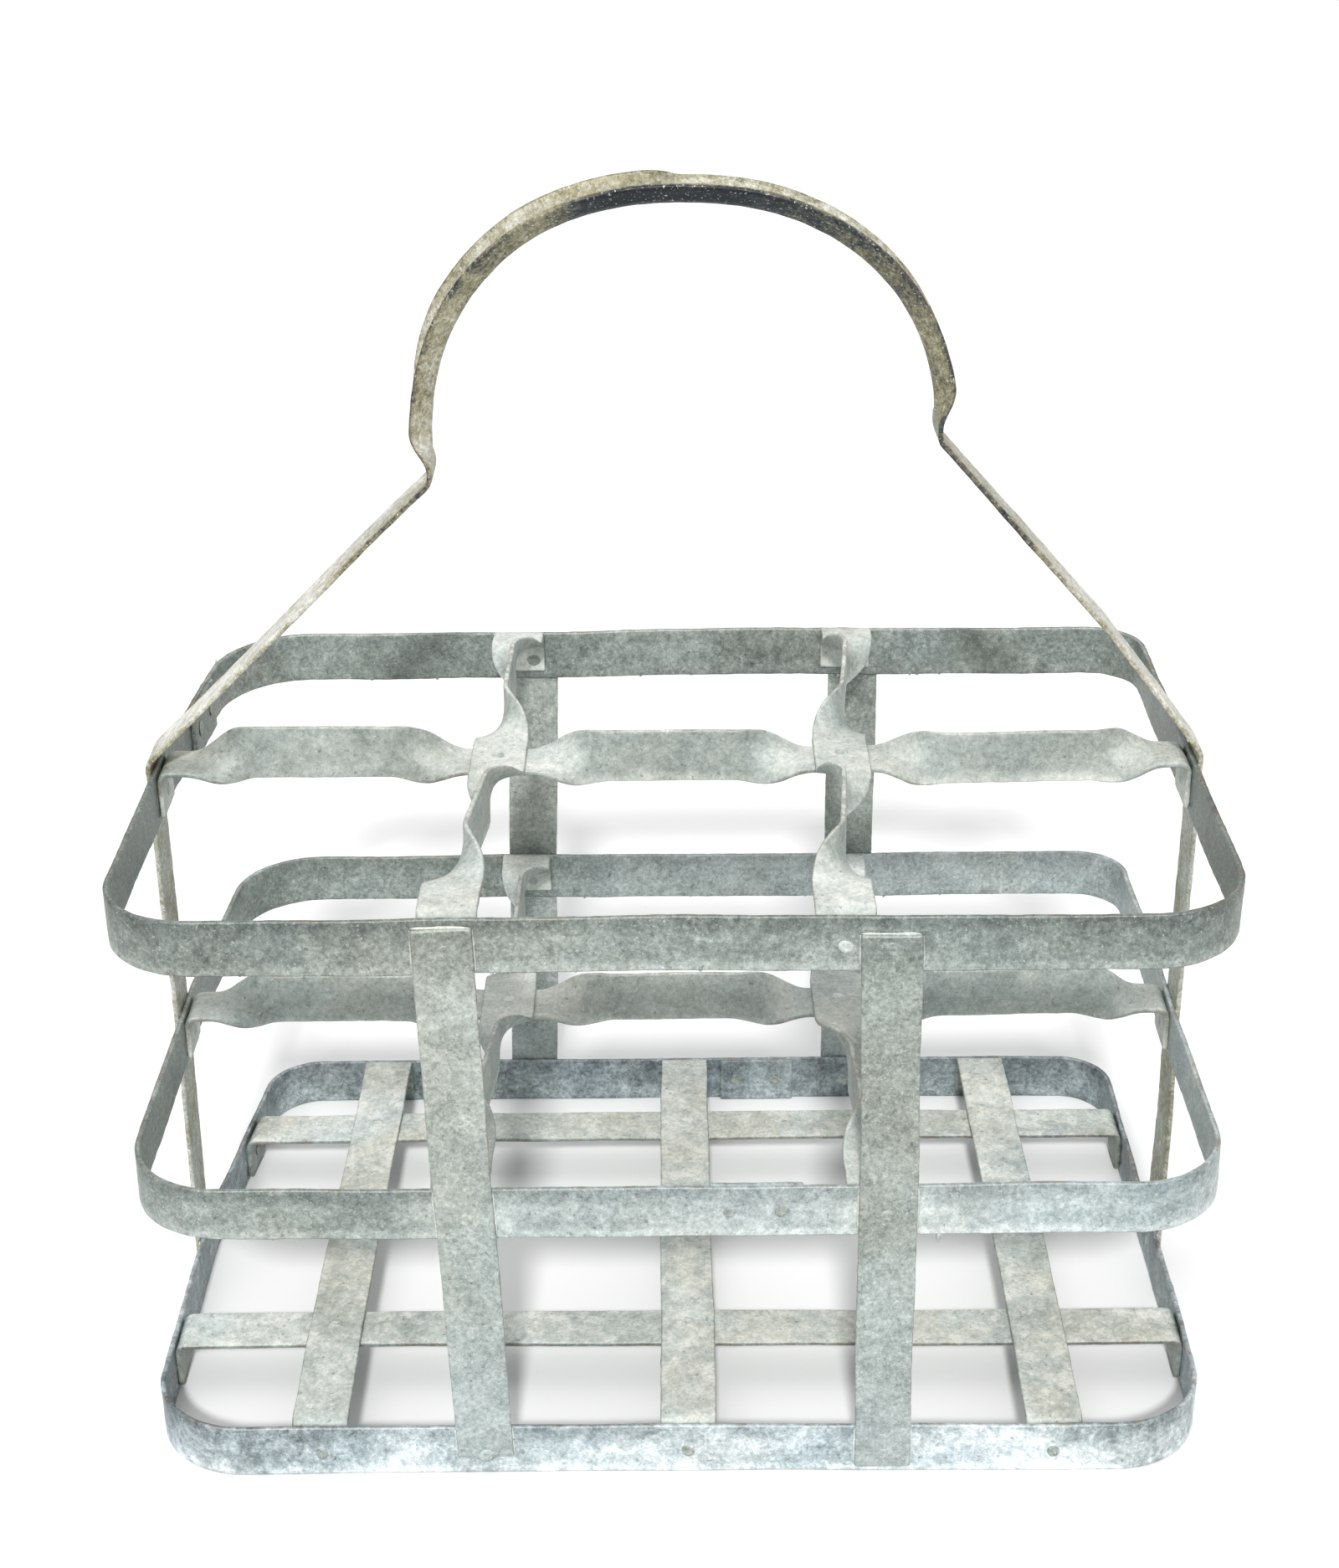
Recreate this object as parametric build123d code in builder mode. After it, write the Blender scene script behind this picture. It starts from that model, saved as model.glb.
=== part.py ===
"""Galvanised six-bottle carrier made of one width of flat steel strip.

Three rounded hoops are held one above the other by four straps and by the carrying handle, whose
ends run down the outside of the crate. A grid of strips, twisted on edge between the bottles,
divides the top and the middle hoop into six pockets, and a flat grid closes the bottom hoop.
Every joint is a spot weld. Millimetres, +X right, +Y back, +Z up, origin on the floor under the
middle of the crate.
"""

from build123d import *
import math
import os

# The strip that everything is cut from
STRIP_WIDTH = 16.2
STRIP_THICKNESS = 1.5
BEND_RADIUS = 2.0

# Hoops
CRATE_WIDTH = 307.0
CRATE_DEPTH = 202.0
FRONT_CORNER_RADIUS = 27.0
BACK_RIGHT_CORNER_RADIUS = 17.0
BACK_LEFT_CORNER_RADII = {"top": 30.0, "middle": 26.0, "bottom": 18.0}
# The left sides lean in behind LEAN_START, by this much where they would meet the back
LEFT_LEANS = {"top": 7.0, "middle": 7.0, "bottom": 10.0}
LEAN_START = 10.0
TOP_HOOP_Z = 165.3
MIDDLE_HOOP_Z = 82.4
BOTTOM_HOOP_Z = 0.0
LAP_LENGTH = 26.0
LAP_WELD_SPACING = 14.0
MIDDLE_LAP_X = 21.5

# Straps: bottom and top end of each centre line, right of the middle and up
FRONT_LEFT_STRAP = ((-56.0, 6.5), (-61.0, 179.0))
FRONT_RIGHT_STRAP = ((58.8, 2.5), (56.5, 176.5))
BACK_LEFT_STRAP = ((-52.0, 4.0), (-46.5, 178.5))
BACK_RIGHT_STRAP = ((60.0, 4.0), (60.0, 178.5))

# Dividers: front end, crossing and back end of each cross divider, right of the middle
TOP_LEFT_DIVIDER_X = (-59.5, -51.5, -51.0)
TOP_RIGHT_DIVIDER_X = (44.5, 50.0, 57.0)
MIDDLE_LEFT_DIVIDER_X = (-59.5, -51.5, -51.0)
MIDDLE_RIGHT_DIVIDER_X = (54.0, 50.0, 57.0)
# How far the long dividers' stretches on edge are sprung above their flats, from left to right
TOP_LONG_LIFTS = (3.5, 1.5, 0.0)
MIDDLE_LONG_LIFTS = (2.5, 2.5, 3.0)
TAB_LENGTH = 14.5
# Flat and twisted lengths of the long dividers at their ends and beside each crossing
LONG_END_FLAT = 8.0
LONG_END_TWIST = 21.0
LONG_CROSSING_FLAT = 9.0
LONG_CROSSING_TWIST = 24.0
# End flat, end twist and crossing twist of the cross dividers' front and back halves
FRONT_TWISTS = (15.0, 26.0, 18.0)
MIDDLE_RIGHT_FRONT_TWISTS = (4.5, 30.0, 32.0)
BACK_TWISTS = (10.5, 21.0, 26.0)
CROSS_CROSSING_FLAT = 10.0
TWIST_SECTIONS = 6

# Base strips
BASE_CROSS_SPACING = 106.0
BASE_CROSS_SHIFT = 2.5
BASE_FRONT_LONG_Y = -54.0
BASE_BACK_LONG_Y = 57.5
# Each half of a base strip runs this far past the middle
MIDDLE_OVERLAP = 1.0

# Handle, seen from the front
HANDLE_BOTTOM_Z = 4.0
SHOULDER_Z = 184.0
SHOULDER_RADIUS = 4.0
RIGHT_LEG_BOW = (124.5, 223.5)
LEG_BOW_RADIUS = 90.0
NECK_RADIUS = 5.0
NECK_RUN = 3.5
ARCH_CENTRE = (3.5, 275.0)
ARCH_HALF_WIDTH = 70.5
ARCH_HEIGHT = 70.75
ARCH_SQUARENESS = 2.3

# Angles along the arch, counted from its right end: where the fold starts and is complete, and
# between which the back flange is opened out
LEFT_NECK_ANGLE = 182.0
LEFT_FOLD_ANGLE = 173.5
OPENING_ANGLE = 140.0
CLOSING_ANGLE = 98.0
CLOSED_ANGLE = 90.0
RIGHT_FOLD_ANGLE = 15.5
RIGHT_NECK_ANGLE = 7.0

# Lean of the gutter's flanges from straight outward, and the width that the fold itself takes up
GUTTER_LEAN = 46.0
OPEN_LEAN = 14.0
FLAT_LEAN = 89.0
FOLD_ALLOWANCE = 1.2

# Spot welds
WELD_RADIUS = 2.2
WELD_PROUD = 0.25

HALF_WIDTH = CRATE_WIDTH / 2
HALF_DEPTH = CRATE_DEPTH / 2
INNER_HALF_WIDTH = HALF_WIDTH - STRIP_THICKNESS
INNER_HALF_DEPTH = HALF_DEPTH - STRIP_THICKNESS
STRIP_MIDDLE = STRIP_WIDTH / 2
HOOPS = {"top": TOP_HOOP_Z, "middle": MIDDLE_HOOP_Z, "bottom": BOTTOM_HOOP_Z}
LEAN_ANGLES = {
    level: math.atan2(lean, HALF_DEPTH - LEAN_START) for level, lean in LEFT_LEANS.items()
}
FRONT_STRAPS = (FRONT_LEFT_STRAP, FRONT_RIGHT_STRAP)
BACK_STRAPS = (BACK_LEFT_STRAP, BACK_RIGHT_STRAP)
BASE_CROSSES_X = {
    "left": BASE_CROSS_SHIFT - BASE_CROSS_SPACING,
    "centre": BASE_CROSS_SHIFT,
    "right": BASE_CROSS_SHIFT + BASE_CROSS_SPACING,
}
BASE_LONGS_Y = {"front": BASE_FRONT_LONG_Y, "back": BASE_BACK_LONG_Y}
DIVIDERS_X = {
    "top": {"left": TOP_LEFT_DIVIDER_X, "right": TOP_RIGHT_DIVIDER_X},
    "middle": {"left": MIDDLE_LEFT_DIVIDER_X, "right": MIDDLE_RIGHT_DIVIDER_X},
}
LONG_LIFTS = {"top": TOP_LONG_LIFTS, "middle": MIDDLE_LONG_LIFTS}

os.makedirs("parts", exist_ok=True)


def save(piece, label):
    """Name a finished piece and write it to its own file."""
    piece.part.label = label
    export_step(piece.part, f"parts/{label}.step")


def hoop_top(level):
    """Height of a hoop's upper edge."""
    return HOOPS[level] + STRIP_WIDTH


def wall_plane(place, outward):
    """Plane on a hoop's inner face at this point, its normal pointing out of the crate."""
    return Plane(origin=place, x_dir=(0, 0, 1), z_dir=outward)


def side_plane(sign, level, y, z):
    """Weld point on the inner face of a hoop's left (-1) or right (+1) side."""
    if sign > 0 or y < LEAN_START:
        return wall_plane((sign * INNER_HALF_WIDTH, y, z), (sign, 0, 0))
    angle = LEAN_ANGLES[level]
    inner_x = STRIP_THICKNESS / math.cos(angle) + math.tan(angle) * (y - LEAN_START) - HALF_WIDTH
    return wall_plane((inner_x, y, z), (-math.cos(angle), math.sin(angle), 0))


def end_plane(sign, x, z):
    """Weld point on the inner face of a hoop's front (-1) or back (+1) side."""
    return wall_plane((x, sign * INNER_HALF_DEPTH, z), (0, sign, 0))


def nuggets(planes, inner_layers, outer_layers, mode=Mode.ADD):
    """Weld nuggets that start inner_layers strips inside each plane and end outer_layers outside."""
    inside = inner_layers * STRIP_THICKNESS + WELD_PROUD
    outside = outer_layers * STRIP_THICKNESS + WELD_PROUD
    with Locations(*[plane.offset(-inside) for plane in planes]):
        Cylinder(
            WELD_RADIUS, inside + outside, align=(Align.CENTER, Align.CENTER, Align.MIN), mode=mode
        )


def cut_nuggets(planes):
    """Holes that the weld nuggets fill, long enough for every layer of a joint."""
    nuggets(planes, 1, 2, mode=Mode.SUBTRACT)


# Where the weld spots are, each a plane on the inner face of the hoop or on the lower strip
def tab_weld_z(level):
    """Height of the spots that hold tabs and straps to a hoop."""
    return hoop_top(level) - STRIP_WIDTH * 0.55


def strap_x(strap, z):
    """Place of a strap's centre line at this height."""
    (bottom_x, bottom_z), (top_x, top_z) = strap
    return bottom_x + (top_x - bottom_x) * (z - bottom_z) / (top_z - bottom_z)


def strap_weld_planes(strap, sign):
    """Three spots of one strap, one on each hoop."""
    heights = [tab_weld_z(level) for level in HOOPS]
    return [end_plane(sign, strap_x(strap, z), z) for z in heights]


def handle_weld_planes():
    """Spots where the handle's two ends cross the hoops."""
    return [side_plane(sign, level, 0, tab_weld_z(level)) for level in HOOPS for sign in (-1, 1)]


def straps(sign):
    """Straps on the front (-1) or back (+1) of the crate."""
    return FRONT_STRAPS if sign < 0 else BACK_STRAPS


def straps_x(sign, level):
    """Places of the spots that hold the front (-1) or back (+1) straps to a hoop."""
    return [strap_x(strap, tab_weld_z(level)) for strap in straps(sign)]


def tab_spot_x(sign, level, tab_x):
    """Place of the spot that holds a tab: a strap's own spot where the strap covers the tab."""
    reach = STRIP_MIDDLE - WELD_RADIUS
    return next((x for x in straps_x(sign, level) if abs(x - tab_x) < reach), tab_x)


def divider_tab_planes(level, side):
    """Spots on the front and back tab of a cross divider."""
    front_x, _, back_x = DIVIDERS_X[level][side]
    z = tab_weld_z(level)
    return [
        end_plane(sign, tab_spot_x(sign, level, x), z) for sign, x in ((-1, front_x), (1, back_x))
    ]


def own_tab_planes(level, side):
    """Spots on a cross divider's tabs that no strap shares."""
    shared = straps_x(-1, level) + straps_x(1, level)
    return [plane for plane in divider_tab_planes(level, side) if plane.origin.X not in shared]


def base_tab_planes(cross_x=None, long_y=None):
    """Spots on the two tabs of one base strip."""
    z = tab_weld_z("bottom")
    if long_y is None:
        return [end_plane(sign, cross_x, z) for sign in (-1, 1)]
    return [side_plane(sign, "bottom", long_y, z) for sign in (-1, 1)]


def crossing_plane(level, x, y):
    """Spot at a crossing of two strips, on the face where they touch."""
    return Plane(origin=(x, y, hoop_top(level)), z_dir=(0, 0, 1))


# Hoops: closed bands standing on edge, the strip's end lapped over its start on the inside
LAP_PLACES = {
    "top": side_plane(-1, "top", HALF_DEPTH / 2, TOP_HOOP_Z + STRIP_MIDDLE),
    "middle": end_plane(-1, MIDDLE_LAP_X, MIDDLE_HOOP_Z + STRIP_MIDDLE),
    "bottom": end_plane(1, BASE_CROSS_SHIFT + LAP_LENGTH, BOTTOM_HOOP_Z + STRIP_MIDDLE),
}


def lap_weld_planes(level):
    """Two spots, side by side along the lap."""
    place = LAP_PLACES[level]
    return [
        Plane(origin=place.from_local_coords((0, along, 0)), x_dir=(0, 0, 1), z_dir=place.z_dir)
        for along in (-LAP_WELD_SPACING / 2, LAP_WELD_SPACING / 2)
    ]


def hoop_weld_planes(level):
    """Every spot that goes through one hoop."""
    planes = lap_weld_planes(level)
    for sign in (-1, 1):
        planes += [end_plane(sign, x, tab_weld_z(level)) for x in straps_x(sign, level)]
        planes.append(side_plane(sign, level, 0, tab_weld_z(level)))
    if level == "bottom":
        for x in BASE_CROSSES_X.values():
            planes += base_tab_planes(cross_x=x)
        for y in BASE_LONGS_Y.values():
            planes += base_tab_planes(long_y=y)
        return planes
    return planes + own_tab_planes(level, "left") + own_tab_planes(level, "right")


def hoop_outline(level, inset):
    """Filled outline of a hoop, this far inside its outer face."""
    corners = {
        (-HALF_WIDTH, -HALF_DEPTH): FRONT_CORNER_RADIUS,
        (HALF_WIDTH, -HALF_DEPTH): FRONT_CORNER_RADIUS,
        (HALF_WIDTH, HALF_DEPTH): BACK_RIGHT_CORNER_RADIUS,
        (LEFT_LEANS[level] - HALF_WIDTH, HALF_DEPTH): BACK_LEFT_CORNER_RADII[level],
    }
    with BuildSketch(Plane.XY.offset(HOOPS[level])) as outline:
        with BuildLine():
            Polyline(*corners, (-HALF_WIDTH, LEAN_START), close=True)
        make_face()
        for corner, radius in corners.items():
            fillet(outline.vertices().sort_by_distance((*corner, 0))[0], radius)
        if inset:
            offset(amount=-inset, kind=Kind.INTERSECTION, mode=Mode.REPLACE)
    return outline.sketch


def hoop(level):
    """One hoop with its lap."""
    with BuildPart() as band:
        extrude(hoop_outline(level, 0), amount=STRIP_WIDTH)
        extrude(hoop_outline(level, STRIP_THICKNESS), amount=STRIP_WIDTH, mode=Mode.SUBTRACT)
        with BuildSketch(LAP_PLACES[level]):
            Rectangle(STRIP_WIDTH, LAP_LENGTH)
        extrude(amount=-STRIP_THICKNESS)
        cut_nuggets(hoop_weld_planes(level))
    return band


for level in HOOPS:
    save(hoop(level), f"{level}_hoop")


# Straps: straight pieces outside the hoops, front and back
def strap_piece(strap, sign):
    """One strap, welded to all three hoops."""
    (bottom_x, bottom_z), (top_x, top_z) = strap
    outer_face = sign * HALF_DEPTH
    line = Vector(top_x - bottom_x, 0, top_z - bottom_z)
    middle = Vector((top_x + bottom_x) / 2, outer_face, (top_z + bottom_z) / 2)
    with BuildPart() as piece:
        with BuildSketch(Plane(origin=middle, x_dir=line, z_dir=(0, sign, 0))):
            Rectangle(line.length, STRIP_WIDTH)
        extrude(amount=STRIP_THICKNESS)
        cut_nuggets(strap_weld_planes(strap, sign))
    return piece


save(strap_piece(FRONT_LEFT_STRAP, -1), "front_left_strap")
save(strap_piece(FRONT_RIGHT_STRAP, -1), "front_right_strap")
save(strap_piece(BACK_LEFT_STRAP, 1), "back_left_strap")
save(strap_piece(BACK_RIGHT_STRAP, 1), "back_right_strap")


# Grid strips, each drawn on a plane whose X runs along the strip
def tab_end(base, sign, half_length, flat, shift, skew=0.0):
    """Flat end of a grid strip, bent down into a tab against the hoop.

    skew is the angle by which the tab turns about +Z to lie against a leaning side.
    """
    middle = half_length - STRIP_THICKNESS / 2
    side = Plane(
        origin=base.from_local_coords((0, shift, 0)), x_dir=base.x_dir * sign, z_dir=base.y_dir * -sign
    )
    with BuildSketch(side) as profile:
        with BuildLine():
            FilletPolyline(
                (half_length - flat, 0),
                (middle, 0),
                (middle, STRIP_THICKNESS / 2 - TAB_LENGTH),
                radius=BEND_RADIUS + STRIP_THICKNESS / 2,
            )
        trace(line_width=STRIP_THICKNESS)
    across = base.y_dir * math.cos(skew) + base.x_dir * math.sin(skew)
    extrude(profile.sketch, amount=STRIP_MIDDLE / math.cos(skew), dir=across, both=True)


def twisted_section(base, along, shift, lift, angle):
    """Cross-section of the strip, turned about its own length."""
    turn = math.radians(angle)
    width_direction = base.y_dir * math.cos(turn) + base.z_dir * math.sin(turn)
    place = Plane(
        origin=base.from_local_coords((along, shift, lift)), x_dir=width_direction, z_dir=base.x_dir
    )
    with BuildSketch(place) as section:
        Rectangle(STRIP_WIDTH, STRIP_THICKNESS)
    return section.sketch


def eased(fraction):
    """Smooth start and end between 0 and 1."""
    return (1 - math.cos(math.pi * fraction)) / 2


def twisted_span(base, span, shifts, quarter_turn):
    """Stretch between two flats: a quarter turn on edge, then a quarter turn back.

    span is (start, end, first twist length, last twist length, lift), where start and end are
    along the strip and lift is how far the stretch on edge springs up.
    """
    along_0, along_1, twist_0, twist_1, lift = span

    def shift_at(along):
        return shifts[0] + (shifts[1] - shifts[0]) * (along - along_0) / (along_1 - along_0)

    steps = [step / TWIST_SECTIONS for step in range(TWIST_SECTIONS + 1)]
    turning_up = [(along_0 + twist_0 * step, eased(step)) for step in steps]
    on_edge = [(along_0 + twist_0, 1), (along_1 - twist_1, 1)]
    turning_down = [(along_1 - twist_1 * (1 - step), 1 - eased(step)) for step in steps]
    for stretch in (turning_up, on_edge, turning_down):
        loft([
            twisted_section(base, along, shift_at(along), lift * turned, quarter_turn * turned)
            for along, turned in stretch
        ])


def flat_stretch(base, start, end, shift):
    """Flat part of a grid strip, from start to end along it."""
    with BuildSketch(base.offset(-STRIP_THICKNESS / 2)) as outline:
        with Locations(((start + end) / 2, shift)):
            Rectangle(end - start, STRIP_WIDTH)
    extrude(outline.sketch, amount=STRIP_THICKNESS)


def divider(base, half_length, shifts, spans, quarter_turn, holes):
    """Divider: flat at its ends and at every crossing, twisted on edge in its spans between them."""
    with BuildPart() as piece:
        tab_end(base, -1, half_length, half_length + spans[0][0], shifts[0])
        tab_end(base, 1, half_length, half_length - spans[-1][1], shifts[-1])
        for span, following, shift in zip(spans, spans[1:], shifts[1:]):
            flat_stretch(base, span[1], following[0], shift)
        for span, shift, next_shift in zip(spans, shifts, shifts[1:]):
            twisted_span(base, span, (shift, next_shift), quarter_turn)
        cut_nuggets(holes)
    return piece


def long_spans(left_x, right_x, lifts):
    """Spans of a long divider whose crossings are at left_x and right_x."""
    end = INNER_HALF_WIDTH - LONG_END_FLAT
    before_left, after_left = left_x - LONG_CROSSING_FLAT, left_x + LONG_CROSSING_FLAT
    before_right, after_right = right_x - LONG_CROSSING_FLAT, right_x + LONG_CROSSING_FLAT
    return [
        (-end, before_left, LONG_END_TWIST, LONG_CROSSING_TWIST, lifts[0]),
        (after_left, before_right, LONG_CROSSING_TWIST, LONG_CROSSING_TWIST, lifts[1]),
        (after_right, end, LONG_CROSSING_TWIST, LONG_END_TWIST, lifts[2]),
    ]


def cross_spans(front_twists):
    """Front and back span of a cross divider."""
    front_flat, front_end, front_crossing = front_twists
    back_flat, back_end, back_crossing = BACK_TWISTS
    return [
        (front_flat - INNER_HALF_DEPTH, -CROSS_CROSSING_FLAT, front_end, front_crossing, 0),
        (CROSS_CROSSING_FLAT, INNER_HALF_DEPTH - back_flat, back_crossing, back_end, 0),
    ]


def grid_plane(level, layer, direction):
    """Middle plane of a lower (0) or upper (1) grid strip, X along the strip."""
    z = hoop_top(level) + STRIP_THICKNESS * (layer - 0.5)
    return Plane(origin=(0, 0, z), x_dir=direction, z_dir=(0, 0, 1))


ALONG_X = (1, 0, 0)
ALONG_Y = (0, 1, 0)

for level, pair in DIVIDERS_X.items():
    crossings_x = [pair["left"][1], pair["right"][1]]
    crossing_welds = [crossing_plane(level, x, 0) for x in crossings_x]
    long_divider = divider(
        grid_plane(level, 0, ALONG_X),
        INNER_HALF_WIDTH,
        shifts=(0, 0, 0, 0),
        spans=long_spans(*crossings_x, LONG_LIFTS[level]),
        quarter_turn=90,
        holes=crossing_welds + [side_plane(sign, level, 0, tab_weld_z(level)) for sign in (-1, 1)],
    )
    save(long_divider, f"{level}_long_divider")
    for side, quarter_turn in (("left", -90), ("right", 90)):
        own_twists = (level, side) == ("middle", "right")
        cross_divider = divider(
            grid_plane(level, 1, ALONG_Y),
            INNER_HALF_DEPTH,
            shifts=[-x for x in pair[side]],
            spans=cross_spans(MIDDLE_RIGHT_FRONT_TWISTS if own_twists else FRONT_TWISTS),
            quarter_turn=quarter_turn,
            holes=[crossing_plane(level, pair[side][1], 0)] + divider_tab_planes(level, side),
        )
        save(cross_divider, f"{level}_{side}_cross_divider")


def base_strip(base, half_lengths, shift, holes, skew=0.0):
    """Flat base strip with a tab at each end, the first one skewed."""
    with BuildPart() as piece:
        for sign, half_length, turn in zip((-1, 1), half_lengths, (skew, 0.0)):
            tab_end(base, sign, half_length, half_length + MIDDLE_OVERLAP, shift, turn)
        cut_nuggets(holes)
    return piece


def base_crossings(cross_xs, long_ys):
    """Spots where these cross strips lie on these long strips."""
    return [crossing_plane("bottom", x, y) for x in cross_xs for y in long_ys]


for side, y in BASE_LONGS_Y.items():
    tabs = base_tab_planes(long_y=y)
    spots = base_crossings(BASE_CROSSES_X.values(), [y]) + tabs
    lower = grid_plane("bottom", 0, ALONG_X)
    half_lengths = [abs(plane.origin.X) for plane in tabs]
    skew = LEAN_ANGLES["bottom"] if y > LEAN_START else 0.0
    save(base_strip(lower, half_lengths, y, spots, skew), f"base_{side}_long_strip")
for side, x in BASE_CROSSES_X.items():
    spots = base_crossings([x], BASE_LONGS_Y.values()) + base_tab_planes(cross_x=x)
    upper = grid_plane("bottom", 1, ALONG_Y)
    half_lengths = (INNER_HALF_DEPTH, INNER_HALF_DEPTH)
    save(base_strip(upper, half_lengths, -x, spots), f"base_{side}_cross_strip")


# Handle: one strip, flat up the sides and legs, folded lengthwise into a gutter for the hand
def arch_curve(angle):
    """Point on the arch's slightly squared-off outline, X across and Y up."""
    across, up = math.cos(math.radians(angle)), math.sin(math.radians(angle))
    share = abs(across / ARCH_HALF_WIDTH) ** ARCH_SQUARENESS
    share += abs(up / ARCH_HEIGHT) ** ARCH_SQUARENESS
    return Vector(*ARCH_CENTRE) + Vector(across, up) * share ** (-1 / ARCH_SQUARENESS)


def arch_point(angle):
    """Point on the arch and the handle's heading there, going from left to right."""
    point = arch_curve(angle)
    ahead = arch_curve(angle - 0.5) - arch_curve(angle + 0.5)
    return point.X, point.Y, math.atan2(ahead.Y, ahead.X)


def neck_corner(angle, sign):
    """Corner between a leg and the arch, NECK_RUN beyond the arch's left (-1) or right (1) end."""
    x, z, heading = arch_point(angle)
    run = sign * NECK_RUN
    return x + run * math.cos(heading), z + run * math.sin(heading)


def leg(sign, bends, neck_angle):
    """Flat part of the handle: up the crate's side, over the shoulder and along the leg.

    bends are (corner, radius) between the shoulder and the neck.
    """
    x = sign * (HALF_WIDTH + STRIP_THICKNESS / 2)
    corners = [((x, SHOULDER_Z), SHOULDER_RADIUS), *bends]
    corners.append((neck_corner(neck_angle, sign), NECK_RADIUS))
    end = arch_point(neck_angle)[:2]
    with BuildSketch(Plane.XZ) as profile:
        with BuildLine() as route:
            Polyline((x, HANDLE_BOTTOM_Z), *[corner for corner, _ in corners], end)
            for corner, radius in corners:
                fillet(route.vertices().sort_by_distance((*corner, 0))[0], radius)
        trace(line_width=STRIP_THICKNESS)
    extrude(profile.sketch, amount=STRIP_MIDDLE, both=True)


def gutter_section(angle, front_lean, back_lean):
    """Cross-section of the arch: two flanges leaning outward from the fold under the hand."""
    x, z, heading = arch_point(angle)
    place = Plane(
        origin=(x, 0, z), x_dir=(0, 1, 0), z_dir=(math.cos(heading), 0, math.sin(heading))
    )
    front, back = math.radians(front_lean), math.radians(back_lean)
    half = STRIP_THICKNESS / 2
    reach = STRIP_MIDDLE - FOLD_ALLOWANCE * math.cos((front + back) / 2)
    mitre = half / math.sin((front + back) / 2)
    fold = Vector(math.sin((back - front) / 2), math.cos((back - front) / 2)) * mitre
    front_tip = Vector(-math.sin(front), math.cos(front)) * reach
    front_step = Vector(math.cos(front), math.sin(front)) * half
    back_tip = Vector(math.sin(back), math.cos(back)) * reach
    back_step = Vector(-math.cos(back), math.sin(back)) * half
    with BuildSketch(place) as section:
        with BuildLine():
            Polyline(
                front_tip + front_step,
                fold,
                back_tip + back_step,
                back_tip - back_step,
                -fold,
                front_tip - front_step,
                close=True,
            )
        make_face()
    return section.sketch


def gutter(start, end, leans_at_start, leans_at_end, steps):
    """Stretch of the arch between two angles, its flanges easing from one lean to another."""
    sections = []
    for step in range(steps + 1):
        fraction = step / steps
        front, back = (
            low + (high - low) * eased(fraction)
            for low, high in zip(leans_at_start, leans_at_end)
        )
        sections.append(gutter_section(start + (end - start) * fraction, front, back))
    loft(sections)


FLAT = (FLAT_LEAN, FLAT_LEAN)
FOLDED = (GUTTER_LEAN, GUTTER_LEAN)
OPENED = (GUTTER_LEAN, OPEN_LEAN)

with BuildPart() as handle:
    leg(-1, [], LEFT_NECK_ANGLE)
    leg(1, [(RIGHT_LEG_BOW, LEG_BOW_RADIUS)], RIGHT_NECK_ANGLE)
    gutter(LEFT_NECK_ANGLE, LEFT_FOLD_ANGLE, FLAT, FOLDED, 4)
    gutter(LEFT_FOLD_ANGLE, OPENING_ANGLE, FOLDED, OPENED, 6)
    gutter(OPENING_ANGLE, CLOSING_ANGLE, OPENED, OPENED, 6)
    gutter(CLOSING_ANGLE, CLOSED_ANGLE, OPENED, FOLDED, 4)
    gutter(CLOSED_ANGLE, RIGHT_FOLD_ANGLE, FOLDED, FOLDED, 10)
    gutter(RIGHT_FOLD_ANGLE, RIGHT_NECK_ANGLE, FOLDED, FLAT, 4)
    cut_nuggets(handle_weld_planes())
save(handle, "handle")


# Spot welds: the fused slugs that join the strips, one node for each kind of joint
def weld_group(joints):
    """Nuggets for (planes, layers inside, layers outside) of one kind of joint."""
    with BuildPart() as group:
        for planes, inner_layers, outer_layers in joints:
            nuggets(planes, inner_layers, outer_layers)
    return group


def tab_behind(plane):
    """1 where the strap's spot also holds a divider's tab inside the hoop, otherwise 0."""
    tabs = [tab for level in DIVIDERS_X for side in ("left", "right")
            for tab in divider_tab_planes(level, side)]
    return int(any((tab.origin - plane.origin).length < WELD_RADIUS for tab in tabs))


strap_spots = [
    plane for sign in (-1, 1) for strap in straps(sign) for plane in strap_weld_planes(strap, sign)
]
tab_spots = [
    plane for level in DIVIDERS_X for side in ("left", "right")
    for plane in own_tab_planes(level, side)
]
divider_crossings = [
    crossing_plane(level, pair[side][1], 0) for level, pair in DIVIDERS_X.items() for side in pair
]
base_tabs = [plane for x in BASE_CROSSES_X.values() for plane in base_tab_planes(cross_x=x)]
base_tabs += [plane for y in BASE_LONGS_Y.values() for plane in base_tab_planes(long_y=y)]
handle_spots = handle_weld_planes()
handle_tab_spots = [plane for plane in handle_spots if plane.origin.Z > hoop_top("bottom")]
handle_bottom_spots = [plane for plane in handle_spots if plane.origin.Z < hoop_top("bottom")]

save(weld_group([([plane], tab_behind(plane), 2) for plane in strap_spots]), "strap_welds")
save(weld_group([(handle_tab_spots, 1, 2), (handle_bottom_spots, 0, 2)]), "handle_welds")
save(weld_group([(tab_spots, 1, 1)]), "divider_tab_welds")
save(weld_group([(divider_crossings, 1, 1)]), "divider_crossing_welds")
save(weld_group([(base_tabs, 1, 1)]), "base_tab_welds")
save(
    weld_group([(base_crossings(BASE_CROSSES_X.values(), BASE_LONGS_Y.values()), 1, 1)]),
    "base_crossing_welds",
)
save(weld_group([(lap_weld_planes(level), 1, 1) for level in HOOPS]), "hoop_lap_welds")
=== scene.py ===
import math

import bpy
import numpy as np
from mathutils import Matrix, Vector


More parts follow.
